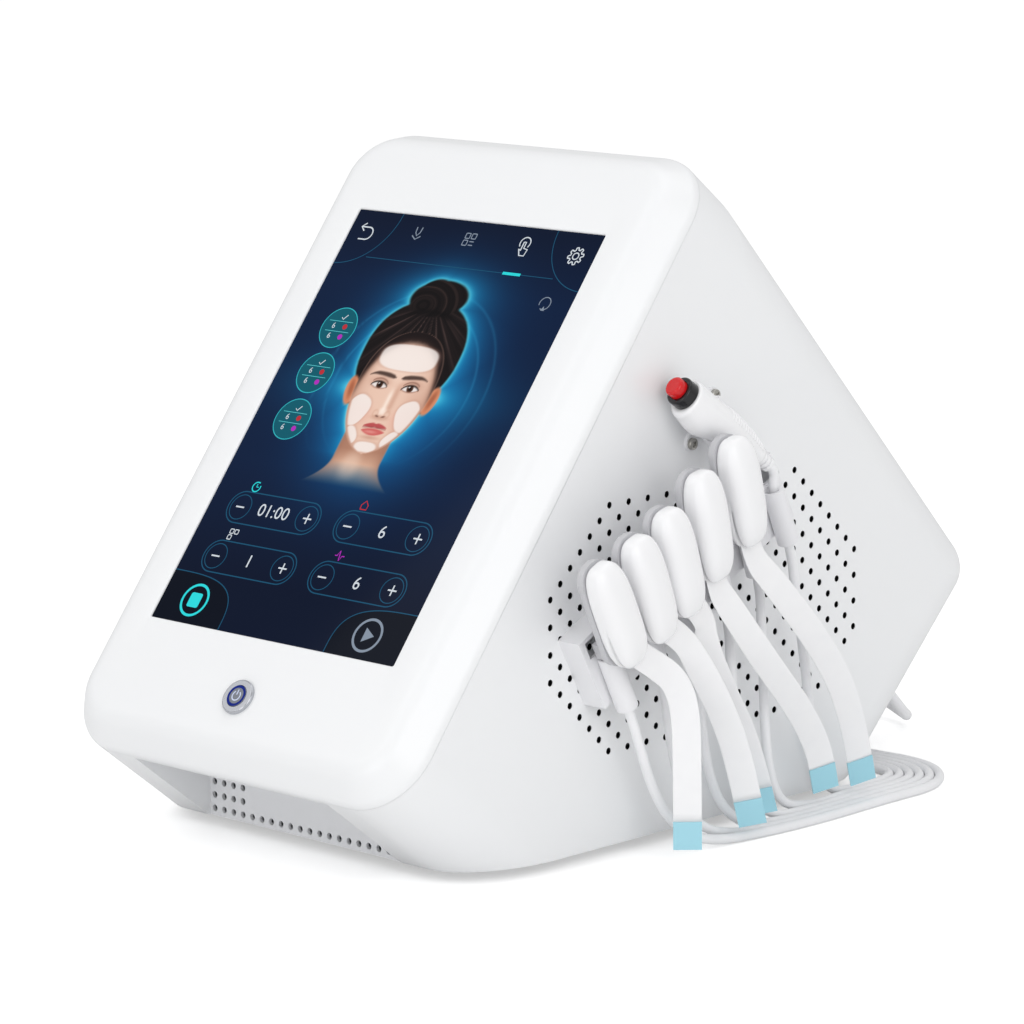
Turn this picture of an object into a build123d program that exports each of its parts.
from build123d import *
import math
import os

# Desk-top facial toning device. Millimetres, +Z up, the face looks along -Y.
# While it is built, the origin lies on the floor under the middle of the screen.

# ---------- driving sizes ----------
# screen and face
screen_w = 184.0
screen_h = 260.4
screen_z = 220.0          # middle of the screen above the floor
face_tilt = 37.57         # degrees that the face leans back from upright
face_w = 229.6
face_below = 190.4        # face edge below the middle of the screen, along the face
face_above = 175.7
face_radius = 23.0
bevel_out = 13.1          # the bevelled rim: how far it widens, and how deep it goes
bevel_deep = 18.4
# body
wall = 3.0
base_rear = 266.3         # rear edge of the base, behind the middle of the screen
back_tilt = 46.2          # degrees that the long back slope falls
top_flat = 14.7           # top wall behind the bevelled rim, before the back slope
slope_radius = 30.0       # round side edges of the two rear slopes
rear_radius = 24.0        # round rear corner
round_steps = 6           # flats that round the side edges of that corner
foot_h = 6.0
foot_d = 24.0
base_thick = 3.0
fit = 0.2                 # gap of each loose fit
run_gap = 0.4             # gap beside each moving piece
# vent pocket under the chin, and the vent holes
pocket_w = 147.2
pocket_h = 40.6
pocket_back = 1.5         # vent panel behind the front edge of the base
vent_panel_thick = 2.0
vent_hole_d = 3.7
vent_pitch = 7.4
# screen stack, from the face inwards
glass_lip = 1.2
glass_border = 4.0
glass_thick = 2.0
lcd_border = 3.0
lcd_thick = 7.0
frame_border = 14.0
frame_thick = 1.5
# power button
switch_below = 164.7
switch_hole_d = 16.2
switch_flange_d = 19.7
switch_flange_h = 2.2
switch_cap_d = 12.4
switch_travel = 2.0
# lead rail on the right wall
rail_y = 90.0             # middle of the rail plate
rail_z = 144.7
rail_tilt = 28.5
rail_length = 171.4
rail_width = 42.0
rail_reach = 15.0
rail_thick = 2.0
tube_r = 6.0
tube_bore_r = 4.75
tube_length = 33.0
tube_slit = 5.8
tube_below = 5.0          # tube end past the lower edge of the rail plate
tube_first = -75.9        # first tube from the middle of the rail
tube_pitch = 29.2
tube_tilts = [27.0, 24.0, 22.0, 20.0, 20.0, 24.0]
# lead clips: each one's upper end on the wall's plane, and its tilt
clip_tops = [(-5.4, 168.6), (21.4, 179.2), (45.2, 190.6), (71.0, 207.2), (97.1, 221.9)]
clip_tilts = [25.3, 21.0, 17.8, 13.3, 14.2]
clip_length = 61.0
clip_width = 21.4
clip_thick = 21.0
clip_back_thick = 5.5
clip_radius = 9.8
stem_r = 4.3
stem_length = 20.0
# cords
lead_d = 5.3
trunk_d = 6.6
ribbon_w = 15.0
ribbon_thick = 0.8
# hand switch, from its cap to its tail
hand_cap_at = (79.9, 248.3)
hand_tilt = 36.5
hand_reach = 11.4
hand_d = 20.0
hand_length = 63.0
hand_tail_d = 10.5
collar_d = 16.2
collar_h = 6.5
hand_cap_d = 11.0
hand_cap_h = 5.0
hand_travel = 3.0

# ---------- worked-out sizes ----------
body_w = face_w + 2 * bevel_out
face_h = face_below + face_above
face_mid = (face_above - face_below) / 2
lean = math.radians(face_tilt)
face_normal = Vector(0, -math.cos(lean), math.sin(lean))
face_up = Vector(0, math.sin(lean), math.cos(lean))
diagonal = math.sqrt(0.5)
far = 800.0

os.makedirs("parts", exist_ok=True)
pieces = {}
on_cords = []


# ---------- shared shapes and places ----------
def face_point(x, up, depth):
    """A point of the face: across, up along it, and depth behind it."""
    return Vector(x, 0, screen_z) + face_up * up - face_normal * depth


def face_plane(depth, x=0.0, up=0.0):
    return Plane(origin=face_point(x, up, depth), x_dir=(1, 0, 0), z_dir=face_normal)


def section(depth, inset):
    """The outline of the bevelled front at a depth behind the face."""
    grow = bevel_out * depth / bevel_deep - inset
    corner = face_radius + grow
    return Pos(0, face_mid) * RectangleRounded(face_w + 2 * grow, face_h + 2 * grow, corner)


def block(x0, x1, y0, y1, z0, z1):
    return Pos((x0 + x1) / 2, (y0 + y1) / 2, (z0 + z1) / 2) * Box(x1 - x0, y1 - y0, z1 - z0)


top_edge = face_point(0, face_above + bevel_out, bevel_deep + top_flat)
back_out = Vector(0, math.sin(math.radians(back_tilt)), math.cos(math.radians(back_tilt)))
back_far = top_edge.dot(back_out)       # the back slope's distance from the origin
rear_gap = base_rear - foot_h           # the lower rear slope is where y - z has this value


def slopes_meet(back, rear):
    """Where the back slope and the lower rear slope meet, beside the middle plane."""
    y = (back + back_out.Z * rear) / (back_out.Y + back_out.Z)
    return Vector(0, y, y - rear)


def body(inset, front=bevel_deep, floor=foot_h):
    """The closed body behind a depth of the face, made smaller all round by inset."""
    prism = extrude(face_plane(front) * section(bevel_deep, inset), -far)
    back = back_far - inset
    rear = rear_gap - inset / diagonal
    turn = rear_radius - inset
    corner = slopes_meet(back, rear)
    side = Polyline((-far, floor), (rear + floor, floor), (corner.Y, corner.Z),
                    ((back - far * back_out.Z) / back_out.Y, far), (-far, far), close=True)
    profile = make_face(Plane.YZ * side)
    corner = profile.vertices().sort_by(Axis.Y)[-1]
    profile = fillet(corner, turn)
    result = prism & extrude(profile, body_w, both=True, dir=(1, 0, 0))
    middle = slopes_meet(back - turn, rear - turn / diagonal)
    for step in range(round_steps + 1):
        rise = math.radians(-45 + step * (135 - back_tilt) / round_steps)
        out = Vector(0, math.cos(rise), math.sin(rise))
        plane = Plane(origin=out * (middle.dot(out) + turn - far / 2), x_dir=(1, 0, 0),
                      z_dir=(0, -math.sin(rise), math.cos(rise)))
        rounded = RectangleRounded(body_w - 2 * inset, far, slope_radius - inset)
        result = result & extrude(plane * rounded, far, both=True)
    return result


def wall_plane(reach, y, z, tilt):
    """A plane beside the right wall: local x up a tilted tube, local z away from the wall."""
    turn = math.radians(tilt)
    up = (0, -math.sin(turn), math.cos(turn))
    return Plane(origin=(body_w / 2 + reach, y, z), x_dir=up, z_dir=(1, 0, 0))


def screw(d, head_d, head_h, length):
    """A pan head screw: the head above z = 0, the shank below."""
    head = Cylinder(head_d / 2, head_h, align=(Align.CENTER, Align.CENTER, Align.MIN))
    head = fillet(head.edges().sort_by(Axis.Z)[-1], head_h * 0.4)
    slot = Pos(0, 0, head_h) * Box(head_d * 0.55, 0.9, 1.6)
    slot += Pos(0, 0, head_h) * Box(0.9, head_d * 0.55, 1.6)
    shank = Cylinder(d / 2, length, align=(Align.CENTER, Align.CENTER, Align.MAX))
    return head + shank - slot


# ---------- main shell ----------
base_front = face_point(0, -face_below - bevel_out, 0)
base_front_y = base_front.Y + (base_front.Z - foot_h) / math.tan(lean)
panel_y = base_front_y + pocket_back
pocket_top = foot_h + pocket_h
cheek = pocket_w / 2 + wall
plate_top = foot_h + base_thick
tab = 14.0                # screw tabs inside the foot of the side walls
tab_h = 10.0
tab_x = body_w / 2 - wall - tab / 2
tab_places = [(side * tab_x, y) for side in (-1, 1) for y in (0.0, 110.0, 220.0)]
m3, m4 = 3.0, 4.0         # screw shanks, their pan heads and the clearance in a hole
m3_head, m4_head = 6.4, 8.0
m3_head_h, m4_head_h = 2.2, 2.6
hole_gap = 0.1

# middle of the lower rear slope, where the service panel sits
service_w = 180.0
service_h = 100.0
service_thick = 2.0
service_rim = 6.0
service_z = 48.0
service_plane = Plane(origin=(0, rear_gap + service_z, service_z), x_dir=(1, 0, 0),
                      z_dir=(0, diagonal, -diagonal))
service_screws = [(side * (service_w / 2 - service_rim / 2), y)
                  for side in (-1, 1) for y in (-service_h / 2 + 10, 0.0, service_h / 2 - 10)]

rail_plane = Plane(origin=(body_w / 2, rail_y, rail_z), z_dir=(1, 0, 0),
                   x_dir=(0, math.cos(math.radians(rail_tilt)), math.sin(math.radians(rail_tilt))))
# the plate's bosses stand between the first two and the last two tubes
rail_bosses = [(tube_first + share * tube_pitch, y) for share in (0.55, 4.65) for y in (-14.0, 14.0)]
boss_d = 8.0

hand_turn = math.radians(hand_tilt)
hand_out = 0.115          # how far the tail leans away from the wall, per length
hand_axis = Vector(hand_out, math.cos(hand_turn), -math.sin(hand_turn)).normalized()
hand_side = Vector(0, math.sin(hand_turn), math.cos(hand_turn))
hand_plane = Plane(origin=(body_w / 2 + hand_reach, *hand_cap_at), x_dir=hand_side, z_dir=hand_axis)
cradle_at = 42.0          # middle of the bracket, from the cap's end
cradle_w = 22.0
cradle_ear = 8.0          # round ears under the two screw heads
cradle_base = 2.0
cradle_grip = 1.8
cradle_screw_at = (17.1, -12.8)
cradle_span = 44.0
cradle_mid = hand_plane.origin + hand_axis * cradle_at
cradle_plane = Plane(origin=(body_w / 2, cradle_mid.Y, cradle_mid.Z), z_dir=(1, 0, 0),
                     x_dir=(0, math.cos(hand_turn), -math.sin(hand_turn)))

shell = body(0) - body(wall, front=bevel_deep - 1, floor=foot_h - 5)
shell += body(0) & block(-cheek, cheek, -far, panel_y, foot_h, pocket_top + wall)
shell -= block(-pocket_w / 2, pocket_w / 2, -far, panel_y, 0, pocket_top)
shell -= block(-cheek - fit, cheek + fit, panel_y, panel_y + vent_panel_thick + fit, 0,
               pocket_top + wall + fit)
for x, y in tab_places:
    shell += block(x - tab / 2, x + tab / 2, y - tab / 2, y + tab / 2, plate_top, plate_top + tab_h)
    shell -= Pos(x, y, plate_top) * Cylinder(m4 / 2 + hole_gap, 2 * tab_h - 2)

# side vents: a six-sided field of staggered holes in the right wall
vent_first = (-0.8, screen_z - 90.1)
vent_step_y, vent_step_z = 7.46, 7.27
vent_places = []
for column in range(34):
    for row in range(-8, 11):
        inside = row >= -2 - column and row <= 4 + column and row >= column - 34 and row <= 38 - column
        if (column + row) % 2 == 0 and inside:
            vent_places.append((vent_first[0] + vent_step_y * column, vent_first[1] - vent_step_z * row))
vent_circles = Sketch() + [Pos(y, z) * Circle(vent_hole_d / 2) for y, z in vent_places]
shell -= extrude(Plane.YZ.offset(body_w / 2 - wall - 1) * vent_circles, wall + 2)
for plane, places in ((rail_plane, rail_bosses),
                      (cradle_plane, [(0, place) for place in cradle_screw_at])):
    for x, y in places:
        shell -= plane * Pos(x, y) * Cylinder(m3 / 2 + hole_gap, 4 * wall)
shell -= service_plane * Box(service_w - 2 * service_rim, service_h - 2 * service_rim, 4 * wall)
for x, y in service_screws:
    shell -= service_plane * Pos(x, y) * Cylinder(m3 / 2 + hole_gap, 4 * wall)
pieces["main_shell"] = shell

# ---------- base, vent panel, feet ----------
floor_slab = block(-body_w, body_w, panel_y + vent_panel_thick + fit, far, foot_h, plate_top)
base = body(wall + fit) & floor_slab
foot_places = [(side * 84.0, y) for side in (-1, 1) for y in (-8.0, 224.0)]
post_d = 7.0
post_h = 6.0
pulse_board_size = (80.0, 120.0)
pulse_board_at = (-62.0, 100.0)
board_thick = 1.6
pulse_posts = [(pulse_board_at[0] + i * (pulse_board_size[0] / 2 - 5),
                pulse_board_at[1] + j * (pulse_board_size[1] / 2 - 5)) for i in (-1, 1) for j in (-1, 1)]
for x, y in pulse_posts:
    post = Cylinder(post_d / 2, post_h, align=(Align.CENTER, Align.CENTER, Align.MIN))
    base += Pos(x, y, plate_top) * post
for x, y in tab_places:
    base -= Pos(x, y, foot_h) * Cylinder(m4 / 2 + hole_gap, 4 * base_thick)
pieces["base_plate"] = base
base_screw = screw(m4, m4_head, m4_head_h, base_thick + tab_h - 2)
pieces["base_screws"] = Part() + [Pos(x, y, foot_h) * Rot(180) * base_screw for x, y in tab_places]
foot = Cylinder(foot_d / 2, foot_h, align=(Align.CENTER, Align.CENTER, Align.MIN))
foot = fillet(foot.edges().sort_by(Axis.Z)[0], 1.5)
pieces["feet"] = Part() + [Pos(x, y) * foot for x, y in foot_places]

vent_panel = block(-cheek, cheek, panel_y, panel_y + vent_panel_thick, foot_h, pocket_top + wall)
panel_rows = [(row, column) for row in range(4) for column in range(20)
              if row == 0 or column < 4 or column > 15]
panel_tool = Part() + [
    Pos((column - 9.5) * vent_pitch, panel_y, foot_h + 4 + row * vent_pitch) * Rot(90)
    * Cylinder(vent_hole_d / 2, 4 * vent_panel_thick) for row, column in panel_rows]
pieces["front_vent_panel"] = vent_panel - panel_tool

# ---------- front bezel and the screen behind it ----------
bezel = loft([face_plane(0) * section(0, 0), face_plane(bevel_deep) * section(bevel_deep, 0)], ruled=True)
bezel -= loft([face_plane(wall) * section(wall, wall),
               face_plane(bevel_deep) * section(bevel_deep, wall)], ruled=True)
lip_thick = 1.6
lip_reach = 4.0
lip_top = bevel_deep - lip_reach
lip = body(wall + fit, front=lip_top) - body(wall + fit + lip_thick, front=lip_top - 1)
lip &= face_plane(bevel_deep) * Box(2 * body_w, 3 * face_h, 2 * lip_reach)
lip -= face_plane(bevel_deep, up=-face_below - bevel_out) * Box(2 * cheek + 2, 24, 4 * lip_reach)
bezel += lip
glass_w, glass_h = screen_w + 2 * glass_border, screen_h + 2 * glass_border
bezel -= face_plane(0) * Box(screen_w, screen_h, 4 * wall)
bezel -= face_plane(glass_lip) * Box(glass_w + 2 * fit, glass_h + 2 * fit, 2 * wall,
                                     align=(Align.CENTER, Align.CENTER, Align.MAX))
bezel -= face_plane(0, up=-switch_below) * Cylinder(switch_hole_d / 2, 4 * wall)
frame_depth = glass_lip + glass_thick + lcd_thick
frame_bosses = [(side * (screen_w / 2 + 9.5), up) for side in (-1, 1) for up in (-115.0, 0.0, 115.0)]
for x, up in frame_bosses:
    bezel += face_plane(frame_depth, x, up) * Cylinder(
        boss_d / 2, frame_depth - wall / 2, align=(Align.CENTER, Align.CENTER, Align.MIN))
    bezel -= face_plane(frame_depth, x, up) * Cylinder(
        m3 / 2 + hole_gap, frame_depth - wall, align=(Align.CENTER, Align.CENTER, Align.MIN))
pieces["front_bezel"] = bezel
sunk = (Align.CENTER, Align.CENTER, Align.MAX)
pieces["touch_glass"] = face_plane(glass_lip) * Box(glass_w, glass_h, glass_thick, align=sunk)
lcd_w, lcd_h = screen_w + 2 * lcd_border, screen_h + 2 * lcd_border
pieces["lcd_panel"] = face_plane(glass_lip + glass_thick) * Box(lcd_w, lcd_h, lcd_thick, align=sunk)
frame = face_plane(frame_depth) * Box(screen_w + 2 * frame_border, screen_h + 2 * frame_border,
                                      frame_thick, align=sunk)
frame -= face_plane(frame_depth, up=-90) * Box(120, 50, 4 * frame_thick)
main_board_size = (150.0, 100.0)
main_board_up = 20.0
main_posts = [(i * (main_board_size[0] / 2 - 5), main_board_up + j * (main_board_size[1] / 2 - 5))
              for i in (-1, 1) for j in (-1, 1)]
for x, up in main_posts:
    frame += face_plane(frame_depth, x, up) * Cylinder(post_d / 2, frame_thick + post_h, align=sunk)
for x, up in frame_bosses:
    frame -= face_plane(frame_depth, x, up) * Cylinder(m3 / 2 + hole_gap, 4 * frame_thick)
pieces["display_frame"] = frame
frame_screw = screw(m3, m3_head, m3_head_h, frame_thick + 5)
pieces["frame_screws"] = Part() + [
    face_plane(frame_depth + frame_thick, x, up) * Rot(180) * frame_screw for x, up in frame_bosses]


def board(width, length, chips):
    """A circuit board with its parts above z = 0: chips are (x, y, width, length, height)."""
    result = Pos(0, 0, board_thick / 2) * Box(width, length, board_thick)
    for x, y, chip_w, chip_l, chip_h in chips:
        result += Pos(x, y, board_thick + chip_h / 2) * Box(chip_w, chip_l, chip_h)
    return result


main_chips = [(-45, 20, 30, 30, 3), (5, 25, 22, 22, 2), (50, 30, 30, 16, 9), (-50, -32, 34, 14, 7),
              (10, -20, 24, 18, 4), (52, -20, 26, 20, 11)]
pulse_chips = [(-20, 30, 28, 34, 16), (20, 34, 24, 24, 12), (-18, -18, 26, 22, 18), (22, -10, 22, 30, 8),
               (0, -48, 60, 10, 9)]
main_board = Rot(180) * board(*main_board_size, main_chips)
pieces["main_board"] = face_plane(frame_depth + frame_thick + post_h, up=main_board_up) * main_board
pieces["pulse_board"] = Pos(*pulse_board_at, plate_top + post_h) * board(*pulse_board_size, pulse_chips)
supply_size = (98.0, 158.0, 38.0)
supply_at = (42.0, 130.0)
supply = block(-supply_size[0] / 2, supply_size[0] / 2, -supply_size[1] / 2, supply_size[1] / 2,
               0, supply_size[2])
supply -= Pos(0, -supply_size[1] / 2, supply_size[2]) * Box(supply_size[0] - 6, 24, 36)
supply += Pos(0, -supply_size[1] / 2 + 6.5, supply_size[2] - 12) * Box(supply_size[0] - 20, 11, 12)
pieces["power_supply"] = Pos(*supply_at, plate_top) * supply

# ---------- power button ----------
switch_face = face_plane(0, up=-switch_below)
switch_r = switch_hole_d / 2 - hole_gap
switch_long = 24.0
cap_bore_deep = 6.0
up_from = (Align.CENTER, Align.CENTER, Align.MIN)
flange = Cylinder(switch_flange_d / 2, switch_flange_h, align=up_from)
flange = fillet(flange.edges().sort_by(Axis.Z)[-1], 0.9)
switch_body = flange + Cylinder(switch_r, switch_long, align=sunk)
switch_body -= Pos(0, 0, switch_flange_h) * Cylinder(switch_cap_d / 2 + fit, cap_bore_deep, align=sunk)
for side in (-1, 1):
    switch_body += Pos(side * 4, 0, -switch_long) * Box(1, 3, 14)
pieces["power_switch_body"] = switch_face * switch_body
cap_long = cap_bore_deep - switch_travel - run_gap
switch_cap = Pos(0, 0, switch_flange_h + 0.3) * Cylinder(switch_cap_d / 2, cap_long, align=sunk)
switch_cap = fillet(switch_cap.edges().sort_by(Axis.Z)[-1], 0.4)
pieces["power_switch_cap"] = switch_face * switch_cap
nut_thick = 3.0
nut_flats = 20.0
nut = extrude(RegularPolygon(nut_flats / 2, 6, major_radius=False), nut_thick)
nut = nut - Cylinder(switch_hole_d / 2, 3 * nut_thick)
pieces["power_switch_nut"] = face_plane(wall + nut_thick, up=-switch_below) * nut

# ---------- rear service panel: fan, mains inlet, lead socket ----------
fan_size = 80.0
fan_deep = 25.0
fan_bore_r = 38.0
fan_hub_r = 17.0
fan_x = -(service_w / 2 - service_rim - fan_size / 2 - 2)
inlet_x, socket_x = 26.0, 62.0
socket_y = -22.0
service = Pos(0, 0, service_thick / 2) * Box(service_w, service_h, service_thick)
grille = [(0, 0)] + [(ring * 8.0, 360 / (6 * ring) * i) for ring in range(1, 5) for i in range(6 * ring)]
service -= Part() + [
    Pos(fan_x + radius * math.cos(math.radians(turn)), radius * math.sin(math.radians(turn)))
    * Cylinder(2.6, 4 * service_thick) for radius, turn in grille]
inlet_w, inlet_h = 20.0, 27.0
socket_r = 10.0
service -= Pos(inlet_x, 0) * Box(inlet_w + 2 * fit, inlet_h + 2 * fit, 20)
service -= Pos(socket_x, socket_y) * Cylinder(socket_r + fit, 20)
for x, y in service_screws:
    service -= Pos(x, y) * Cylinder(m3 / 2 + hole_gap, 20)
pieces["rear_service_panel"] = service_plane * service
service_screw = screw(m3, m3_head, m3_head_h, service_thick + wall + 3)
pieces["service_screws"] = Part() + [
    service_plane * Pos(x, y, service_thick) * service_screw for x, y in service_screws]
fan = Pos(fan_x, 0, -fan_deep / 2) * (Box(fan_size, fan_size, fan_deep) - Cylinder(fan_bore_r, 2 * fan_deep))
for turn in (0, 120, 240):
    fan += Pos(fan_x, 0, -2) * Rot(0, 0, turn) * Pos(fan_bore_r / 2, 0) * Box(fan_bore_r + 4, 4, 3)
fan += Pos(fan_x, 0, -0.5) * Cylinder(fan_hub_r, 3, align=sunk)
fan_pin_r = 3.0
fan += Pos(fan_x, 0, -3) * Cylinder(fan_pin_r, 8, align=sunk)
pieces["fan_frame"] = service_plane * fan
hub_top = -4.0
hub_deep = 17.0
rotor = Pos(0, 0, hub_top) * Cylinder(fan_hub_r, hub_deep, align=sunk)
rotor -= Pos(0, 0, hub_top) * Cylinder(fan_pin_r + fit, 8, align=sunk)
for blade in range(7):
    place = Rot(0, 0, blade * 360 / 7) * Pos(fan_hub_r + 9.2, 0, hub_top - hub_deep / 2)
    rotor += place * Rot(35) * Box(20, 19, 1.6)
rotor &= Pos(0, 0, hub_top) * Cylinder(fan_bore_r - 1, hub_deep, align=sunk)
pieces["fan_rotor"] = service_plane * Pos(fan_x) * rotor
inlet = Pos(inlet_x, 0, service_thick) * Box(inlet_w + 8, inlet_h + 8, 3, align=up_from)
inlet += Pos(inlet_x, 0, service_thick) * Box(inlet_w, inlet_h, 26, align=sunk)
inlet -= Pos(inlet_x, 0, service_thick + 3) * Box(inlet_w - 5, inlet_h - 4, 20, align=sunk)
for x, y in ((0, 0), (3, 7), (3, -7)):
    inlet += Pos(inlet_x + x, y, service_thick - 18) * Box(2, 4, 15, align=up_from)
pieces["mains_inlet"] = service_plane * inlet
plug_r = 6.4
plug_deep = 10.0
socket_out = 8.0
socket = Pos(socket_x, socket_y, service_thick) * Cylinder(socket_r + 3, 3, align=up_from)
socket += Pos(socket_x, socket_y, service_thick + socket_out) * Cylinder(socket_r, 34, align=sunk)
socket -= Pos(socket_x, socket_y, service_thick + socket_out) * Cylinder(
    plug_r + fit, plug_deep + 1, align=sunk)
pieces["lead_socket"] = service_plane * socket

# ---------- lead rail on the right wall ----------
tube_reach = rail_reach + tube_r - 0.5
rail = Pos(0, 0, rail_reach - rail_thick / 2) * Box(rail_length, rail_width, rail_thick)
rail += Pos(0, (rail_width - rail_thick) / 2, rail_reach) * Box(
    rail_length, rail_thick, rail_reach, align=sunk)
for side in (-1, 1):
    rail += Pos(side * (rail_length - rail_thick) / 2, 0, rail_reach) * Box(
        rail_thick, rail_width, rail_reach, align=sunk)
boss_h = rail_reach - rail_thick / 2
for x, y in rail_bosses:
    rail += Pos(x, y, boss_h) * Cylinder(boss_d / 2, boss_h, align=sunk)
rail = rail_plane * rail
tube_planes = []
for number, tilt in enumerate(tube_tilts):
    foot_point = rail_plane.from_local_coords(
        Vector(tube_first + number * tube_pitch, -rail_width / 2 - tube_below, tube_reach))
    plane = wall_plane(tube_reach, foot_point.Y, foot_point.Z, tilt)
    tube_planes.append(plane)
    rail += plane * Rot(0, 90) * Cylinder(tube_r, tube_length, align=up_from)
for plane in tube_planes:
    rail -= plane * Rot(0, 90) * Pos(0, 0, -1) * Cylinder(tube_bore_r, tube_length + 2, align=up_from)
    rail -= plane * Pos(tube_length / 2, -tube_r, 0) * Box(tube_length + 2, 2 * tube_r, tube_slit)
    rail -= plane * Pos(tube_length + 6.5, 0, -tube_r) * Box(10, 14.5, 3 * rail_thick)
for x, y in rail_bosses:
    rail -= rail_plane * Pos(x, y) * Cylinder(m3 / 2 + hole_gap, 2 * (rail_reach - rail_thick) - 4)
pieces["lead_rail"] = rail
wall_screw = screw(m3, m3_head, m3_head_h, wall + 7)
pieces["rail_screws"] = Part() + [
    rail_plane * Pos(x, y, -wall) * Rot(180) * wall_screw for x, y in rail_bosses]

# ---------- lead clips ----------
slot_at = 10.6            # the ribbon's slot, above the clip's back
slot_h = 2.4
slot_deep = 15.0
arm_w = 9.0
clip_axes = []
for number, (top_y, top_z) in enumerate(clip_tops):
    plane = wall_plane(tube_reach + tube_r + run_gap, top_y, top_z, clip_tilts[number])
    tube = tube_planes[number]
    middle = plane * Pos(-clip_length / 2, 0, 0)
    outline = RectangleRounded(clip_length, clip_width, clip_radius)
    back = extrude(outline, clip_back_thick)
    back = fillet(back.faces().sort_by(Axis.Z)[0].edges(), 2.6)
    front = Pos(0, 0, clip_back_thick) * extrude(outline, clip_thick - clip_back_thick)
    front = fillet(front.faces().sort_by(Axis.Z)[-1].edges(), 8.6)
    front -= Pos(-clip_length / 2, -2, slot_at) * Box(2 * slot_deep, clip_width + 4, slot_h)
    # the arm from the clip's back to its stem, and the stem in the tube
    start = plane.from_local_coords(Vector(-38, -3, clip_back_thick / 2))
    arm_y = tube.to_local_coords(start).Y
    arm_x = tube_length + run_gap + arm_w / 2
    arm = Pos(arm_x, arm_y / 2, 1.2) * Box(arm_w, abs(arm_y) + arm_w, tube_r + 4)
    link_z = tube_r + run_gap + clip_back_thick / 2
    link = Pos(arm_x, arm_y, link_z / 2) * Box(arm_w, arm_w, link_z)
    stem = Rot(0, 90) * Pos(0, 0, tube_length - stem_length) * Cylinder(
        stem_r, stem_length + arm_w / 2, align=up_from)
    back_piece = middle * back + tube * arm + tube * link + tube * stem
    pieces[f"clip_back_{number + 1}"] = back_piece
    pieces[f"clip_front_{number + 1}"] = middle * front
    clip_axes.append((plane, tube))

# ---------- hand switch and its bracket ----------
collar_from = hand_cap_h
housing_from = collar_from + collar_h
tail_from = housing_from + hand_length
cap_seat = 12.6
cap_gap = 0.3
side_line = Polyline((0, housing_from), (collar_d / 2 + 1.0, housing_from), (hand_d / 2, housing_from + 5),
                     (hand_d / 2, housing_from + 34), (hand_d / 2 - 1.6, housing_from + 50),
                     (hand_tail_d / 2, tail_from), (0, tail_from), close=True)
housing = revolve(make_face(Plane.XZ * side_line), Axis.Z)
housing -= Cylinder(hand_cap_d / 2 + cap_gap, cap_seat, align=up_from)
pieces["hand_switch_housing"] = hand_plane * housing
collar = Pos(0, 0, collar_from) * Cylinder(collar_d / 2, collar_h, align=up_from)
collar = fillet(collar.edges().sort_by(Axis.Z)[0], 1.2)
collar -= Cylinder(hand_cap_d / 2 + cap_gap, 40)
pieces["hand_switch_collar"] = hand_plane * collar
button = Cylinder(hand_cap_d / 2, cap_seat - hand_travel - run_gap, align=up_from)
button = fillet(button.edges().sort_by(Axis.Z)[0], 1.6)
pieces["hand_switch_button"] = hand_plane * button
relief_long = 8.5
relief = Pos(0, 0, tail_from) * Cylinder(lead_d / 2 + 1.6, relief_long, align=up_from)
for ring in range(2):
    relief -= Pos(0, 0, tail_from + 2.5 + 3 * ring) * (Cylinder(9, 1.2) - Cylinder(lead_d / 2 + 0.8, 2))
pieces["hand_switch_relief"] = hand_plane * relief
cradle = Pos(0, (cradle_screw_at[0] + cradle_screw_at[1]) / 2) * extrude(
    SlotOverall(cradle_span - 6, cradle_ear, rotation=90), cradle_base)
grip_r = hand_d / 2 + cap_gap
grip_reach = cradle_mid.X - body_w / 2
grip = Pos(0, 0, grip_reach) * Rot(0, 90) * Cylinder(grip_r + cradle_grip, cradle_w)
grip &= Pos(0, 0, grip_reach) * Box(2 * cradle_w, 4 * grip_r, grip_reach, align=sunk)
cradle += grip
cradle += Box(cradle_w - 4, 10, 5, align=up_from)
cradle -= cradle_plane.location.inverse() * (hand_plane * Cylinder(grip_r, 3 * hand_length, align=up_from))
for place in cradle_screw_at:
    cradle -= Pos(0, place) * Cylinder(m3 / 2 + hole_gap, 20)
pieces["switch_cradle"] = cradle_plane * cradle
cradle_screw = screw(m3, m3_head, m3_head_h, cradle_base + wall + 2)
pieces["cradle_screws"] = Part() + [
    cradle_plane * Pos(0, place, cradle_base) * cradle_screw for place in cradle_screw_at]

# ---------- leads: from the clips through the tubes and along the floor to the yoke ----------
# Points beside the right wall are (away from the wall, y, z).
lead_points = [
    [(20, 47, 60), (19, 57, 38), (21, 70, 17), (27, 90, 4), (33, 130, 2.75)],
    [(20, 68, 72), (19, 75, 48), (18, 83, 27), (19, 96, 9), (24, 118, 2.75), (28, 145, 2.75)],
    [(20, 92, 85), (18, 98, 60), (16.5, 105, 37), (16.5, 116, 16), (19.5, 134, 3.5), (23, 156, 2.75)],
    [(20, 118, 97), (18.5, 123, 69), (17, 131, 42), (15.5, 141, 18), (16, 158, 4)],
    [(20, 143, 112), (18.5, 147, 84), (17, 150, 56), (15, 156, 30), (13, 168, 9), (12.8, 190, 2.75)],
    [(20, 170, 132), (18.5, 178, 102), (16.5, 186, 73), (13.5, 194, 45), (9, 204, 20), (5, 222, 5)],
]
lane_first = 6.5          # floor lane nearest to the wall, and the lanes' pitch
lane_pitch = 5.7
turn_off, turn_y = -20.0, 262.0   # middle of the lanes' turn behind the device
floor_z = lead_d / 2 + 0.1
yoke_size = (26.0, 36.5, 9.0)
yoke_from = (24.0, 296.75)
yoke_z = 0.1


def beside(away, y, z):
    return Vector(body_w / 2 + away, y, z)


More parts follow.
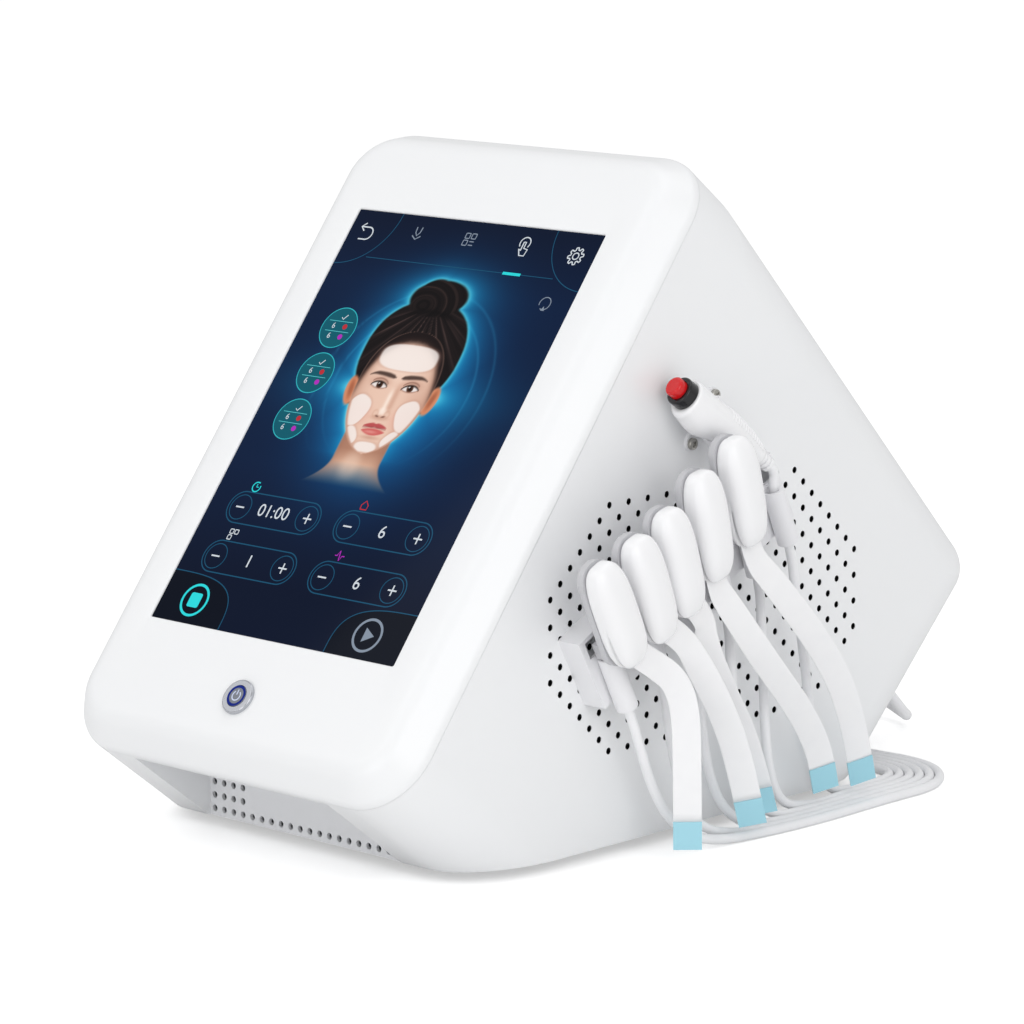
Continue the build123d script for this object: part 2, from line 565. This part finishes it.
def cord(name, points, d):
    """A round cord: straight runs joined by arcs as large as the runs allow."""
    radii = []
    for before, point, after in zip(points, points[1:], points[2:]):
        turn = (point - before).get_angle(after - point)
        run = min((point - before).length, (after - point).length)
        radii.append(0.45 * run / math.tan(math.radians(turn / 2)))
    path = FilletPolyline(*points, radius=radii)
    solid = sweep(Plane(origin=path @ 0, z_dir=path % 0) * Circle(d / 2), path=path)
    share = solid.volume / (math.pi * d * d / 4 * path.length)
    print(name, "length", round(path.length, 1), "volume", round(share, 4),
          "radii", [round(r) for r in radii])
    print("   points", [tuple(round(value, 2) for value in point) for point in points])
    pieces[name] = solid
    on_cords.append(name)


for number, (points, plane) in enumerate(zip(lead_points, tube_planes)):
    lane = lane_first + lane_pitch * (len(tube_planes) - 1 - number)
    bend = lane - turn_off
    if number < len(clip_tops):
        name = f"lead_cord_{number + 1}"
        route = [plane.from_local_coords(Vector(x, 0, 0)) for x in (tube_length - stem_length, -8)]
    else:
        name = "switch_cord"
        tail = hand_plane.origin + hand_axis * (tail_from + relief_long)
        route = [tail, tail + hand_axis * 6.5, plane.from_local_coords(Vector(tube_length + 2, 0, 0)),
                 plane.from_local_coords(Vector(-6, 0, 0))]
    route += [beside(*point) for point in points]
    if points[-1][1] < 175:
        route.append(beside(lane + 1, 180, floor_z))
    route.append(beside(lane - 1.2, 234, floor_z))
    route.append(beside(lane, turn_y + 0.414 * bend, floor_z))
    route.append(beside(turn_off + 0.414 * bend, turn_y + bend, floor_z))
    route.append(beside(-52, turn_y + bend - 6, floor_z))
    route.append(Vector(yoke_from[0] + yoke_size[0], turn_y + bend - 6, floor_z))
    cord(name, route, lead_d)

yoke = Pos(yoke_from[0], yoke_from[1], yoke_z) * Box(*yoke_size, align=(Align.MIN, Align.CENTER, Align.MIN))
yoke = fillet(yoke.edges().filter_by(Axis.Z), 4)
pieces["lead_yoke"] = fillet(yoke.faces().sort_by(Axis.Z)[-1].edges(), 2)
on_cords.append("lead_yoke")

# ---------- trunk: from the yoke through its coil to the plug ----------
coil_at = (-50.0, 352.0)
coil_r = 35.0
coil_turns = 4.5
coil_low = trunk_d / 2 + 0.1
coil_high = coil_low + coil_turns * trunk_d
meet_x = coil_at[0] + math.sqrt((coil_r + trunk_d / 2) ** 2 - coil_r ** 2)
plug_long = 34.0
plug_end, plug_lead = (service_plane.from_local_coords(Vector(socket_x, socket_y, out))
                       for out in (service_thick + socket_out + plug_long,
                                   service_thick + socket_out + plug_long + 29))
trunk_start = [(yoke_from[0], yoke_from[1]), (8, yoke_from[1]), (-8, 307.5), (-21, 315.5),
               (meet_x, coil_at[1] - coil_r)]
cord("trunk_cord", [Vector(x, y, coil_low) for x, y in trunk_start], trunk_d)
cord("trunk_tail", [Vector(meet_x, coil_at[1] + coil_r, coil_high), Vector(-14, 388, 31), Vector(6, 396, 20),
                    Vector(30, 400, 10), Vector(52, 392, 6), plug_lead, plug_end], trunk_d)
coil = Cylinder(coil_r + trunk_d / 2, coil_high - coil_low + trunk_d, align=up_from)
coil -= Cylinder(coil_r - trunk_d / 2, 200)
pieces["trunk_coil"] = Pos(*coil_at, coil_low - trunk_d / 2) * coil
plug = Cylinder(plug_r, plug_deep, align=sunk) + Cylinder(plug_r + 3, 22, align=up_from)
plug += Pos(0, 0, 22) * Cone(plug_r + 1, trunk_d / 2 + 1, plug_long - 22, align=up_from)
pieces["trunk_plug"] = service_plane * Pos(socket_x, socket_y, service_thick + socket_out) * plug
on_cords += ["trunk_coil", "trunk_plug"]

# ---------- ribbons from the clips, with a stiff tab on each free end ----------
ribbon_points = [
    [(39, 34, 112), (42, 49, 101), (42.5, 56.5, 84), (43, 57.5, 55), (43, 58, 24)],
    [(38.4, 57, 123), (42, 67, 106), (43, 84.6, 79.3), (43, 97.8, 52.7), (43, 106, 27)],
    [(36, 79, 130), (34, 81, 113), (34, 95, 87), (34, 113.8, 59.3), (34, 125, 28)],
    [(37.5, 85, 145), (39, 95, 132), (39, 123.7, 99), (36, 156.5, 67), (32, 178, 41), (31, 182, 30)],
    [(37.5, 113, 157), (40, 130, 140), (40, 161, 109), (38, 186, 81), (34, 202, 57), (31, 212, 37),
     (30, 215.5, 28)],
]
ribbon_turned = [1.0, 1.0, 1.0, 0.6, 0.6]   # how far each ribbon's face turns towards the front
tab_long = 15.0
tab_thick = 1.2
front_facing = Vector(0.724, 0.69, 0)
tabs = Part()
for number, points in enumerate(ribbon_points):
    plane = clip_axes[number][0]
    route = [plane.from_local_coords(Vector(-clip_length + 9, -1, slot_at))]
    route += [beside(*point) for point in points]
    tangents = [(after - before).normalized() for before, after in zip(route, route[1:])]
    between = [(a + b).normalized() for a, b in zip(tangents, tangents[1:])]
    tangents = [tangents[0]] + between + [tangents[-1]]
    sections = []
    for step, (point, tangent) in enumerate(zip(route, tangents)):
        flat = Vector(1, 0, 0).cross(tangent).normalized()
        if flat.Y < 0:
            flat = flat * -1
        turned = min(1.0, max(0, step - 1) / 2) * ribbon_turned[number]
        across = flat * (1 - turned) + front_facing * turned
        across = (across - tangent * across.dot(tangent)).normalized()
        sections.append(Plane(origin=point, x_dir=across, z_dir=tangent) * Rectangle(ribbon_w, ribbon_thick))
    ribbon = loft(sections, ruled=True)
    length = sum((after - before).length for before, after in zip(route, route[1:]))
    share = ribbon.volume / (length * ribbon_w * ribbon_thick)
    print("ribbon", number + 1, "length", round(length, 1), "volume", round(share, 3))
    pieces[f"ribbon_{number + 1}"] = ribbon
    tab_plane = Plane(origin=route[-1], x_dir=across, z_dir=tangent)
    tabs += tab_plane * Box(ribbon_w, tab_thick, tab_long, align=up_from)
    on_cords.append(f"ribbon_{number + 1}")
pieces["ribbon_tabs"] = tabs
on_cords.append("ribbon_tabs")

# ---------- write every piece in the row's frame ----------
still = Compound(children=[Part() + piece for name, piece in pieces.items() if name not in on_cords])
box = still.bounding_box()
origin = Pos(-(box.min.X + box.max.X) / 2, -(box.min.Y + box.max.Y) / 2, -box.min.Z)
print("origin", origin.position, "size", box.size)
for name, piece in pieces.items():
    export_step(origin * piece, f"parts/{name}.step")
